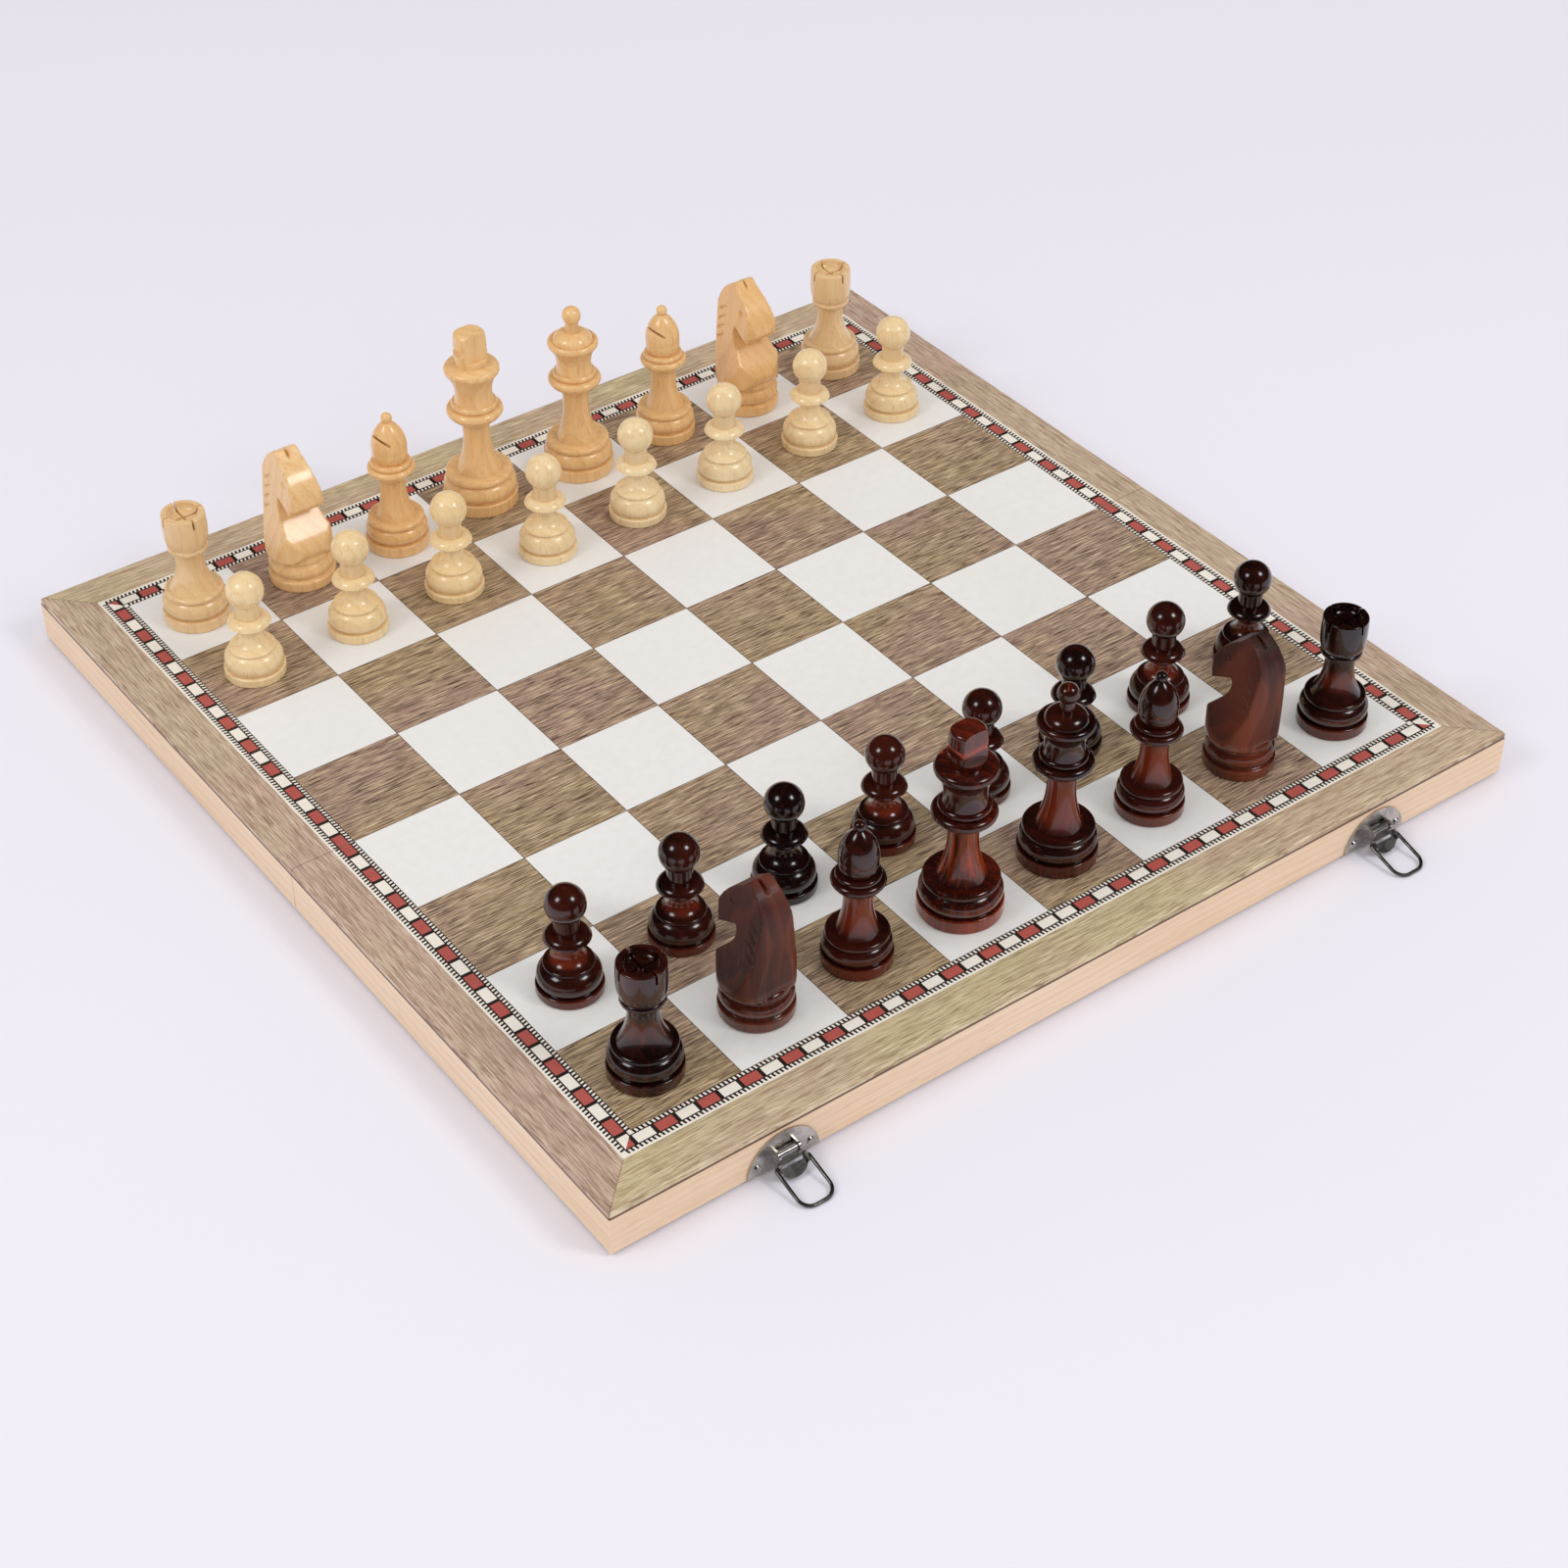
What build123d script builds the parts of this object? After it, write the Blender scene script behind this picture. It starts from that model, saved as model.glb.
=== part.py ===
from build123d import *
from math import cos, radians, sin
import os

os.makedirs("parts", exist_ok=True)

# Folding chess set: two shallow pine trays hinged along the middle, playing side up,
# with sixteen light and sixteen dark turned men standing on the printed panels.
# +X runs along the fold, +Y from the latched edge to the back, +Z up, all in mm.
# Pieces are drawn with the fold at y = 0 and the hinge barrels on the ground plane z = 0,
# then set along Y so that the origin is the bottom centre of the whole set.

# Playing board
square = 42.5
squares_per_side = 8
band_width = 9.0
border_width = 16.0
panel_thickness = 3.0
panel_edge_radius = 1.4

# Pine tray
rail_thickness = 9.0
rail_height = 15.0
fold_gap = 0.3

# Butt hinges, let into the rims of the two fold rails
hinge_spacing = 240.0
hinge_length = 30.0
leaf_thickness = 1.0
leaf_width = 7.6
leaf_fit = 0.1
knuckle_length = 10.0
knuckle_radius = 1.1
knuckle_gap = 0.15
hinge_pin_radius = 0.5
hinge_pin_play = 0.05
axis_drop = 0.1
notch_clearance = 0.25
screw_radius = 0.8
screw_head_radius = 1.5
screw_head_depth = 0.8
screw_length = 7.0
screw_spacing = 16.0
screw_inset = 3.6

# Draw latches on the dark tray's outer rail
latch_spacing = 260.0
plate_width = 28.0
plate_height = 13.6
plate_thickness = 0.8
plate_lift = 0.4
ear_inner = 3.6
ear_thickness = 0.8
ear_radius = 1.9
lever_axis_out = 2.6
lever_axis_up = 7.0
lever_pin_radius = 0.6
lever_pin_play = 0.05
lever_barrel_radius = 1.3
lever_side_gap = 0.2
lever_length = 8.8
lever_width = 11.0
lever_thickness = 0.8
lever_tip_radius = 3.2
lever_neck_length = 2.4
flange_height = 3.0
flange_end = 6.2
bail_axis = 4.0
bail_length = 16.0
bail_wire_radius = 0.65
bail_hole_play = 0.07
bail_corner_radius = 4.5
lever_rest_angle = 50.0
bail_rest_angle = 16.2
nail_radius = 0.7
nail_head_radius = 1.5
nail_head_height = 0.6
nail_length = 6.0
latch_nail_inset = 3.6
latch_nail_up = 3.4

# Catches on the light tray's outer rail
catch_width = 20.0
catch_height = 10.5
hook_width = 5.4
hook_reach = 4.6
hook_thickness = 0.8
hook_curl = 2.4
hook_seat_gap = 0.3
catch_nail_inset = 3.2
catch_nail_up = 3.0

# Turned bases shared by all men
foot_round = 0.6
dome_inset = 0.7
groove_depth = 0.9
groove_height = 1.0

# Pawn
pawn_foot_radius = 11.5
pawn_foot_height = 3.6
pawn_dome_height = 6.6
pawn_shoulder_radius = 8.2
pawn_shoulder_height = 1.4
pawn_waist_radius = 4.5
pawn_waist_height = 20.2
pawn_collar_radius = 8.1
pawn_collar_height = 5.0
pawn_neck_radius = 4.4
pawn_ball_radius = 7.0
pawn_height = 43.5

# Rook
rook_foot_radius = 12.8
rook_foot_height = 4.6
rook_dome_height = 6.0
rook_bead_radius = 10.4
rook_bead_height = 2.2
rook_stem_radius = 9.2
rook_neck_radius = 5.9
rook_neck_height = 31.0
rook_ring_radius = 7.1
rook_ring_height = 2.0
rook_turret_radius = 8.2
rook_turret_height = 11.5
rook_cup_radius = 6.0
rook_cup_depth = 2.6
rook_slot_width = 0.9
rook_slot_depth = 3.8
rook_height = 47.0

# Knight
knight_foot_radius = 13.0
knight_foot_height = 4.6
knight_dome_height = 5.6
knight_bead_radius = 10.8
knight_bead_height = 2.4
knight_cheek_width = 17.0
knight_cheek_z = 29.0
knight_crown_width = 9.0
knight_blank_radius = 13.0
knight_neck_front = 9.6
knight_neck_back = 10.4
knight_chest_y = 12.2
knight_chest_z = 17.5
knight_throat_y = 1.4
knight_throat_z = 39.0
knight_chin_y = 9.8
knight_chin_z = 34.8
knight_nose_y = 12.7
knight_nose_z = 38.0
knight_gullet_y = 7.2
knight_gullet_z = 26.0
knight_face_y = 9.4
knight_face_z = 46.4
knight_brow_y = 2.4
knight_brow_z = 53.2
knight_ear_y = -1.6
knight_crest_y = 8.4
knight_crest_z = 52.4
knight_mane_y = 12.0
knight_mane_z = 30.0
knight_mane_nicks = 4
knight_nick_pitch = 4.2
knight_nick_length = 6.0
knight_nick_width = 0.9
knight_nick_depth = 0.9
knight_nick_y = -7.4
knight_eye_radius = 1.1
knight_eye_y = 4.6
knight_eye_z = 46.0
knight_mouth_width = 0.8
knight_mouth_z = 37.0
knight_ear_cut_width = 1.0
knight_ear_cut_depth = 3.2
knight_height = 57.0

# Bishop
bishop_foot_radius = 12.4
bishop_foot_height = 4.6
bishop_dome_height = 5.2
bishop_bead_radius = 10.2
bishop_bead_height = 2.4
bishop_stem_radius = 7.8
bishop_neck_radius = 5.4
bishop_neck_height = 31.0
bishop_collar_radius = 9.0
bishop_collar_height = 5.2
bishop_ring_radius = 7.4
bishop_ring_height = 2.0
bishop_mitre_radius = 6.8
bishop_mitre_height = 15.0
bishop_ball_radius = 2.2
bishop_slot_width = 0.9
bishop_slot_depth = 7.0
bishop_slot_angle = 40.0
bishop_height = 59.0

# Queen
queen_foot_radius = 14.2
queen_foot_height = 5.2
queen_dome_height = 5.6
queen_bead_radius = 11.8
queen_bead_height = 2.6
queen_stem_radius = 8.6
queen_neck_radius = 5.6
queen_neck_height = 37.0
queen_collar_radius = 10.2
queen_collar_height = 6.0
queen_ring_radius = 8.0
queen_ring_height = 2.2
queen_crown_foot_radius = 7.4
queen_crown_radius = 9.8
queen_crown_height = 14.0
queen_rim_height = 2.6
queen_dome_rise = 3.4
queen_ball_radius = 3.8
queen_height = 73.5

# King
king_foot_radius = 14.9
king_foot_height = 5.4
king_dome_height = 6.0
king_bead_radius = 12.4
king_bead_height = 2.8
king_stem_radius = 9.0
king_neck_radius = 5.8
king_neck_height = 37.5
king_collar_radius = 10.8
king_collar_height = 6.4
king_ring_radius = 8.6
king_ring_height = 2.4
king_crown_foot_radius = 7.9
king_crown_radius = 10.5
king_crown_height = 16.0
king_rim_height = 3.0
king_finial_radius = 6.3
king_finial_thickness = 8.4
king_finial_round = 2.2
king_notch_radius = 1.6
king_height = 77.0

# Levels and edges worked out from the sizes above
hinge_axis_z = knuckle_radius
rim_z = hinge_axis_z + axis_drop
panel_z = rim_z + rail_height
top_z = panel_z + panel_thickness
half_depth = squares_per_side / 2 * square + band_width + border_width
board_length = squares_per_side * square + 2 * (band_width + border_width)
inner_y = fold_gap / 2
bail_reach = (lever_axis_out + bail_axis * cos(radians(lever_rest_angle))
              + bail_length * cos(radians(bail_rest_angle)) + bail_wire_radius)
fold_y = (bail_reach - hook_reach) / 2
hinge_centres = (-hinge_spacing / 2, hinge_spacing / 2)
latch_centres = {"left": -latch_spacing / 2, "right": latch_spacing / 2}


def write(part, name):
    """Set one finished piece in the frame, label it and write its STEP file."""
    with BuildPart() as placed:
        with Locations((0, fold_y, 0)):
            add(part)
    placed.part.label = name
    export_step(placed.part, f"parts/{name}.step")


# Printed playing panels, rounded over along their three outer edges
for tone, side in (("light", 1), ("dark", -1)):
    with BuildPart() as panel:
        depth = half_depth - inner_y
        with Locations((0, side * (inner_y + depth / 2), panel_z)):
            Box(board_length, depth, panel_thickness, align=(Align.CENTER, Align.CENTER, Align.MIN))
        top_edges = panel.faces().sort_by(Axis.Z)[-1].edges()
        outer = [e for e in top_edges if abs(e.center().Y) > 2 * inner_y]
        fillet(outer, panel_edge_radius)
        fillet(panel.edges().filter_by(Axis.Z).filter_by(lambda e: abs(e.center().Y) > depth / 2),
               panel_edge_radius / 2)
    write(panel.part, f"{tone}_panel")


# Pine rails, mitred at the corners and glued under the panels
def leaf_recess(side, centre):
    """Shallow bed in a fold rail's rim for one leaf, open to the fold."""
    with Locations((centre, side * (leaf_width + leaf_fit) / 2, rim_z)):
        Box(hinge_length + 2 * leaf_fit, leaf_width + leaf_fit, leaf_thickness,
            align=(Align.CENTER, Align.CENTER, Align.MIN), mode=Mode.SUBTRACT)


def screw_places(side, centre):
    """The two screw positions of one leaf."""
    y = side * (leaf_width - screw_inset + fold_gap)
    return [(centre - screw_spacing / 2, y), (centre + screw_spacing / 2, y)]


def rail(corners):
    """One rail as a mitred bar from its four plan corners."""
    with BuildPart() as bar:
        with BuildSketch(Plane.XY.offset(rim_z)):
            with BuildLine():
                Polyline(*corners, close=True)
            make_face()
        extrude(amount=rail_height)
    return bar.part


half_length = board_length / 2
inside_x = half_length - rail_thickness
for tone, side in (("light", 1), ("dark", -1)):
    near, far = side * inner_y, side * half_depth
    near_in, far_in = near + side * rail_thickness, far - side * rail_thickness

    with BuildPart() as fold_rail:
        add(rail([(-half_length, near), (half_length, near), (inside_x, near_in), (-inside_x, near_in)]))
        for centre in hinge_centres:
            leaf_recess(side, centre)
            with Locations(Location((centre, 0, hinge_axis_z), (0, 90, 0))):
                Cylinder(knuckle_radius + notch_clearance, hinge_length + 2 * leaf_fit, mode=Mode.SUBTRACT)
            with Locations(*[(x, y, rim_z + leaf_thickness) for x, y in screw_places(side, centre)]):
                Cylinder(screw_radius, screw_length - leaf_thickness, mode=Mode.SUBTRACT,
                         align=(Align.CENTER, Align.CENTER, Align.MIN))
    write(fold_rail.part, f"{tone}_fold_rail")

    with BuildPart() as outer_rail:
        add(rail([(-half_length, far), (half_length, far), (inside_x, far_in), (-inside_x, far_in)]))
        inset, up, width = ((latch_nail_inset, plate_lift + latch_nail_up, plate_width) if tone == "dark"
                            else (catch_nail_inset, catch_nail_up, catch_width))
        shank = nail_length - plate_thickness
        for centre in latch_centres.values():
            for x in (centre - width / 2 + inset, centre + width / 2 - inset):
                with Locations(Location((x, far - side * shank / 2, rim_z + up), (90, 0, 0))):
                    Cylinder(nail_radius, shank, mode=Mode.SUBTRACT)
    write(outer_rail.part, f"{tone}_outer_rail")

    for hand, end in (("left", -1), ("right", 1)):
        out_x, in_x = end * half_length, end * inside_x
        write(rail([(out_x, near), (out_x, far), (in_x, far_in), (in_x, near_in)]), f"{tone}_{hand}_rail")


# Hinge leaves: the light leaf carries the two outer knuckles, the dark leaf the middle one
def hinge_leaf(side, centre, knuckles, pin_play):
    """Flat leaf in its recess with knuckles rolled about the fold axis."""
    relief = knuckle_radius + notch_clearance
    plate_depth = leaf_width - inner_y
    with BuildPart() as leaf:
        with Locations((centre, side * (inner_y + plate_depth / 2), rim_z)):
            Box(hinge_length, plate_depth, leaf_thickness, align=(Align.CENTER, Align.CENTER, Align.MIN))
        with Locations(Location((centre, 0, hinge_axis_z), (0, 90, 0))):
            Cylinder(relief, hinge_length, mode=Mode.SUBTRACT)
        for offset, length in knuckles:
            with Locations(Location((centre + offset, 0, hinge_axis_z), (0, 90, 0))):
                Cylinder(knuckle_radius, length)
            with Locations((centre + offset, side * relief / 2, rim_z)):
                Box(length, relief + knuckle_gap, knuckle_radius - axis_drop,
                    align=(Align.CENTER, Align.CENTER, Align.MIN))
        with Locations(Location((centre, 0, hinge_axis_z), (0, 90, 0))):
            Cylinder(hinge_pin_radius + pin_play, hinge_length, mode=Mode.SUBTRACT)
        for x, y in screw_places(side, centre):
            with Locations((x, y, rim_z)):
                Cone(screw_head_radius, screw_radius, screw_head_depth, mode=Mode.SUBTRACT,
                     align=(Align.CENTER, Align.CENTER, Align.MIN))
                Cylinder(screw_radius, leaf_thickness, mode=Mode.SUBTRACT,
                         align=(Align.CENTER, Align.CENTER, Align.MIN))
    return leaf.part


middle_length = hinge_length - 2 * knuckle_length - 2 * knuckle_gap
outer_offset = (hinge_length - knuckle_length) / 2
outer_knuckles = ((-outer_offset, knuckle_length), (outer_offset, knuckle_length))
for hand, centre in zip(("left", "right"), hinge_centres):
    write(hinge_leaf(1, centre, outer_knuckles, 0), f"{hand}_hinge_light_leaf")
    write(hinge_leaf(-1, centre, ((0, middle_length),), hinge_pin_play), f"{hand}_hinge_dark_leaf")

with BuildPart() as hinge_pins:
    for centre in hinge_centres:
        with Locations(Location((centre, 0, hinge_axis_z), (0, 90, 0))):
            Cylinder(hinge_pin_radius, hinge_length)
write(hinge_pins.part, "hinge_pins")

for tone, side in (("light", 1), ("dark", -1)):
    with BuildPart() as screws:
        for centre in hinge_centres:
            for x, y in screw_places(side, centre):
                with Locations((x, y, rim_z)):
                    Cone(screw_head_radius, screw_radius, screw_head_depth,
                         align=(Align.CENTER, Align.CENTER, Align.MIN))
                    Cylinder(screw_radius, screw_length, align=(Align.CENTER, Align.CENTER, Align.MIN))
    write(screws.part, f"{tone}_hinge_screws")


# Wall fittings are drawn in plan planes standing on the outer rail's face:
# sketch x runs along the rail and sketch y up from the rim.
dark_wall = Plane(origin=(0, -half_depth, rim_z), x_dir=(1, 0, 0), z_dir=(0, -1, 0))
light_wall = Plane(origin=(0, half_depth, rim_z), x_dir=(-1, 0, 0), z_dir=(0, 1, 0))


def half_round(width, height, lift):
    """D-shaped outline with its straight edge down."""
    with BuildSketch() as outline:
        with BuildLine():
            left, right = (-width / 2, lift), (width / 2, lift)
            Line(left, right)
            ThreePointArc(right, (0, lift + height), left)
        make_face()
    return outline.sketch


def wall_nails(wall, centres, width, inset, up):
    """Round-headed nails driven through a plate's two ends."""
    with BuildPart() as nails:
        for centre in centres:
            for x in (centre - width / 2 + inset, centre + width / 2 - inset):
                with BuildSketch(wall.offset(plate_thickness)):
                    with Locations((x, up)):
                        Circle(nail_radius)
                extrude(amount=-nail_length)
                with BuildSketch(wall.offset(plate_thickness)):
                    with Locations((x, up)):
                        Circle(nail_head_radius)
                extrude(amount=nail_head_height, taper=35)
    return nails.part


lever_axis_y = -half_depth - lever_axis_out
lever_axis_z = rim_z + lever_axis_up
bail_axis_y = lever_axis_y - bail_axis * cos(radians(lever_rest_angle))
bail_axis_z = lever_axis_z - bail_axis * sin(radians(lever_rest_angle))

for hand, centre in latch_centres.items():
    with BuildPart() as latch_plate:
        wall = Plane(origin=(centre, -half_depth, rim_z), x_dir=(1, 0, 0), z_dir=(0, -1, 0))
        with BuildSketch(wall):
            add(half_round(plate_width, plate_height, plate_lift))
            with Locations((-plate_width / 2 + latch_nail_inset, plate_lift + latch_nail_up),
                           (plate_width / 2 - latch_nail_inset, plate_lift + latch_nail_up)):
                Circle(nail_radius, mode=Mode.SUBTRACT)
        extrude(amount=plate_thickness)
        for ear in (-1, 1):
            ear_x = centre + ear * (ear_inner + ear_thickness / 2) - ear_thickness / 2
            ear_plane = Plane(origin=(ear_x, -half_depth, rim_z), x_dir=(0, -1, 0), z_dir=(1, 0, 0))
            with BuildSketch(ear_plane):
                with Locations((lever_axis_out, -lever_axis_up)):
                    Circle(ear_radius)
                with Locations((lever_axis_out / 2 + plate_thickness / 4, -lever_axis_up)):
                    Rectangle(lever_axis_out - plate_thickness / 2, 2 * ear_radius)
                with Locations((lever_axis_out, -lever_axis_up)):
                    Circle(lever_pin_radius, mode=Mode.SUBTRACT)
            extrude(amount=ear_thickness)
    write(latch_plate.part, f"{hand}_latch_plate")

    # Lever: barrel between the ears, neck, then a rounded tongue with two side flanges
    lever_plane = Plane(origin=(centre, lever_axis_y, lever_axis_z), x_dir=(1, 0, 0),
                        z_dir=(0, -sin(radians(lever_rest_angle)), cos(radians(lever_rest_angle))))
    barrel_length = 2 * (ear_inner - lever_side_gap)
    flange_inner = lever_width / 2 - lever_thickness
    with BuildPart() as lever:
        with BuildSketch(lever_plane.offset(-lever_thickness / 2)):
            with BuildLine():
                w, n = lever_width / 2, barrel_length / 2
                tip, r = -lever_length, lever_tip_radius
                Polyline((-n, 0), (-n, -lever_neck_length), (-w, -lever_neck_length), (-w, tip + r))
                ThreePointArc((-w, tip + r), (0, tip), (w, tip + r))
                Polyline((w, tip + r), (w, -lever_neck_length), (n, -lever_neck_length), (n, 0), (-n, 0))
            make_face()
        extrude(amount=lever_thickness)
        with Locations(Location((centre, lever_axis_y, lever_axis_z), (0, 90, 0))):
            Cylinder(lever_barrel_radius, barrel_length)
        for flange in (-1, 1):
            x0 = centre + flange * (flange_inner + lever_thickness / 2) - lever_thickness / 2
            flange_plane = Plane(origin=(x0, lever_axis_y, lever_axis_z), z_dir=(1, 0, 0),
                                 x_dir=(0, -cos(radians(lever_rest_angle)), -sin(radians(lever_rest_angle))))
            with BuildSketch(flange_plane):
                with Locations(((lever_neck_length + flange_end) / 2, 0)):
                    RectangleRounded(flange_end - lever_neck_length, flange_height, lever_thickness)
            extrude(amount=lever_thickness)
        with Locations(Location((centre, bail_axis_y, bail_axis_z), (0, 90, 0))):
            Cylinder(bail_wire_radius + bail_hole_play, lever_width + 1, mode=Mode.SUBTRACT)
        with Locations(Location((centre, lever_axis_y, lever_axis_z), (0, 90, 0))):
            Cylinder(lever_pin_radius + lever_pin_play, lever_width, mode=Mode.SUBTRACT)
    write(lever.part, f"{hand}_latch_lever")

    # Bail: one bent wire whose ends turn inward into the lever's flanges
    bail_plane = Plane(origin=(centre, bail_axis_y, bail_axis_z), x_dir=(1, 0, 0),
                       z_dir=(0, -sin(radians(bail_rest_angle)), cos(radians(bail_rest_angle))))
    arm_x = lever_width / 2 + bail_wire_radius + lever_side_gap
    with BuildPart() as bail:
        with BuildLine(bail_plane) as route:
            FilletPolyline((-flange_inner, 0), (-arm_x, 0), (-arm_x, -bail_length), (arm_x, -bail_length),
                           (arm_x, 0), (flange_inner, 0),
                           radius=[bail_wire_radius * 1.01, bail_corner_radius, bail_corner_radius,
                                   bail_wire_radius * 1.01])
        with BuildSketch(Plane(origin=route.line @ 0, z_dir=route.line % 0)):
            Circle(bail_wire_radius)
        sweep()
    write(bail.part, f"{hand}_latch_bail")

with BuildPart() as lever_pins:
    for centre in latch_centres.values():
        with Locations(Location((centre, lever_axis_y, lever_axis_z), (0, 90, 0))):
            Cylinder(lever_pin_radius, 2 * (ear_inner + ear_thickness))
write(lever_pins.part, "lever_pins")
write(wall_nails(dark_wall, latch_centres.values(), plate_width, latch_nail_inset,
                 plate_lift + latch_nail_up), "latch_nails")

# Catch plates, each with a hook for the bail's loop. When the box is shut the light rim
# lies two axis drops from the dark rim, and the loop's inner side seats above the hook.
loop_height = bail_length - lever_axis_up - bail_axis - 2 * axis_drop
hook_up = loop_height - bail_wire_radius - hook_seat_gap
for hand, centre in latch_centres.items():
    wall = Plane(origin=(centre, half_depth, rim_z), x_dir=(-1, 0, 0), z_dir=(0, 1, 0))
    with BuildPart() as catch_plate:
        with BuildSketch(wall):
            add(half_round(catch_width, catch_height, 0))
            with Locations((-catch_width / 2 + catch_nail_inset, catch_nail_up),
                           (catch_width / 2 - catch_nail_inset, catch_nail_up)):
                Circle(nail_radius, mode=Mode.SUBTRACT)
        extrude(amount=plate_thickness)
        hook_plane = Plane(origin=(centre - hook_width / 2, half_depth, rim_z), x_dir=(0, 1, 0),
                           z_dir=(1, 0, 0))
        with BuildSketch(hook_plane):
            with BuildLine():
                t = hook_thickness
                Polyline((plate_thickness / 2, hook_up - t), (hook_reach, hook_up - t),
                         (hook_reach, hook_up + hook_curl), (hook_reach - t, hook_up + hook_curl),
                         (hook_reach - t, hook_up), (plate_thickness / 2, hook_up), close=True)
            make_face()
        extrude(amount=hook_width)
    write(catch_plate.part, f"{hand}_catch_plate")
write(wall_nails(light_wall, latch_centres.values(), catch_width, catch_nail_inset, catch_nail_up),
      "catch_nails")


# Turned men. A profile is a list of stations (radius, height, sagitta) from the foot up:
# a sagitta of zero is a straight run, above zero a hollow, below zero a swelling.
def turned(stations, neck_radius=0, ball_radius=0, top=0):
    """Profile revolved about Z, ending in a ball if one is given."""
    with BuildPart() as form:
        with BuildSketch(Plane.XZ):
            with BuildLine():
                at = (0, 0)
                for radius, height, sagitta in stations:
                    if sagitta:
                        SagittaArc(at, (radius, height), sagitta)
                    else:
                        Line(at, (radius, height))
                    at = (radius, height)
                if ball_radius:
                    centre = top - ball_radius
                    low = centre - (ball_radius ** 2 - neck_radius ** 2) ** 0.5
                    Line(at, (neck_radius, low))
                    ThreePointArc((neck_radius, low), (ball_radius, centre), (0, top))
                    at = (0, top)
                Line(at, (0, 0))
            make_face()
        revolve(axis=Axis.Z)
    return form.part


def base(foot_radius, foot_height, dome_height, bead_radius, bead_height):
    """Foot ring, saw groove, swelling dome and one bead above it."""
    dome_radius = foot_radius - dome_inset
    groove_radius = dome_radius - groove_depth
    groove_top = foot_height + groove_height
    dome_top = groove_top + dome_height
    return [
        (foot_radius - foot_round, 0, 0),
        (foot_radius, foot_round, -foot_round / 4),
        (foot_radius, foot_height - foot_round, 0),
        (foot_radius - foot_round, foot_height, -foot_round / 4),
        (groove_radius, foot_height, 0),
        (groove_radius, groove_top, 0),
        (dome_radius, groove_top + foot_round, -foot_round / 4),
        (bead_radius, dome_top, -dome_height / 6),
        (bead_radius, dome_top + bead_height, -bead_height / 3),
    ]


def stem(stem_radius, start_height, neck_radius, neck_height):
    """Small step inward, then the long hollow up to the neck."""
    return [
        (stem_radius, start_height, 0),
        (neck_radius, neck_height, (stem_radius - neck_radius) * 0.55),
    ]


def collar(neck_height, radius, height, ring_radius, ring_height):
    """Flared flange with a smaller ring on it."""
    top = neck_height + height
    return [
        (radius, neck_height + height * 0.55, -height / 12),
        (radius - foot_round, top, -height / 9),
        (ring_radius, top, 0),
        (ring_radius, top + ring_height, -ring_height / 4),
    ]


def pawn():
    """Ball on a rounded collar, waist and swelling base."""
    with BuildPart() as man:
        add(turned(base(pawn_foot_radius, pawn_foot_height, pawn_dome_height, pawn_shoulder_radius,
                      pawn_shoulder_height)
                 + [(pawn_waist_radius, pawn_waist_height, (pawn_shoulder_radius - pawn_waist_radius) * 0.55),
                    (pawn_collar_radius, pawn_waist_height + pawn_collar_height * 0.5, -0.3),
                    (pawn_neck_radius, pawn_waist_height + pawn_collar_height, -0.9)],
                 pawn_neck_radius, pawn_ball_radius, pawn_height))
    return man.part


def rook():
    """Turret with a shallow cup and two crossing saw cuts."""
    turret_foot = rook_height - rook_turret_height
    with BuildPart() as man:
        add(turned(base(rook_foot_radius, rook_foot_height, rook_dome_height, rook_bead_radius,
                        rook_bead_height)
                   + stem(rook_stem_radius,
                          rook_foot_height + groove_height + rook_dome_height + rook_bead_height,
                          rook_neck_radius, rook_neck_height)
                 + [(rook_ring_radius, rook_neck_height, 0),
                    (rook_ring_radius, rook_neck_height + rook_ring_height, -rook_ring_height / 4),
                    (rook_turret_radius, turret_foot + 2 * foot_round, -foot_round / 3),
                    (rook_turret_radius, rook_height - foot_round, -foot_round / 3),
                    (rook_turret_radius - foot_round, rook_height, -foot_round / 4),
                    (rook_cup_radius, rook_height, 0),
                    (rook_cup_radius * 0.8, rook_height - rook_cup_depth, 0.5),
                    (0, rook_height - rook_cup_depth, 0)]))
        for angle in (0, 90):
            with Locations(Location((0, 0, rook_height), (0, 0, angle))):
                Box(2 * rook_turret_radius + 1, rook_slot_width, rook_slot_depth, mode=Mode.SUBTRACT,
                    align=(Align.CENTER, Align.CENTER, Align.MAX))
    return man.part


def bishop():
    """Egg-shaped mitre with one slanting saw cut and a small ball."""
    collar_top = bishop_neck_height + bishop_collar_height + bishop_ring_height
    mitre_top = bishop_height - 1.6 * bishop_ball_radius
    with BuildPart() as man:
        add(turned(base(bishop_foot_radius, bishop_foot_height, bishop_dome_height, bishop_bead_radius,
                      bishop_bead_height)
                 + stem(bishop_stem_radius,
                        bishop_foot_height + groove_height + bishop_dome_height + bishop_bead_height,
                        bishop_neck_radius, bishop_neck_height)
                 + collar(bishop_neck_height, bishop_collar_radius, bishop_collar_height, bishop_ring_radius,
                          bishop_ring_height)
                 + [(bishop_mitre_radius * 0.82, collar_top, 0),
                    (bishop_mitre_radius, collar_top + bishop_mitre_height * 0.33, -0.5),
                    (bishop_ball_radius * 0.6, mitre_top, -1.9)],
                 bishop_ball_radius * 0.6, bishop_ball_radius, bishop_height))
        cut_height = collar_top + bishop_mitre_height * 0.62
        cut = Location((bishop_mitre_radius * 0.35, 0, cut_height), (0, -bishop_slot_angle, 0))
        with Locations(cut):
            Box(bishop_slot_depth, 2 * bishop_mitre_radius + 1, bishop_slot_width, mode=Mode.SUBTRACT,
                align=(Align.MIN, Align.CENTER, Align.CENTER))
    return man.part


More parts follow.
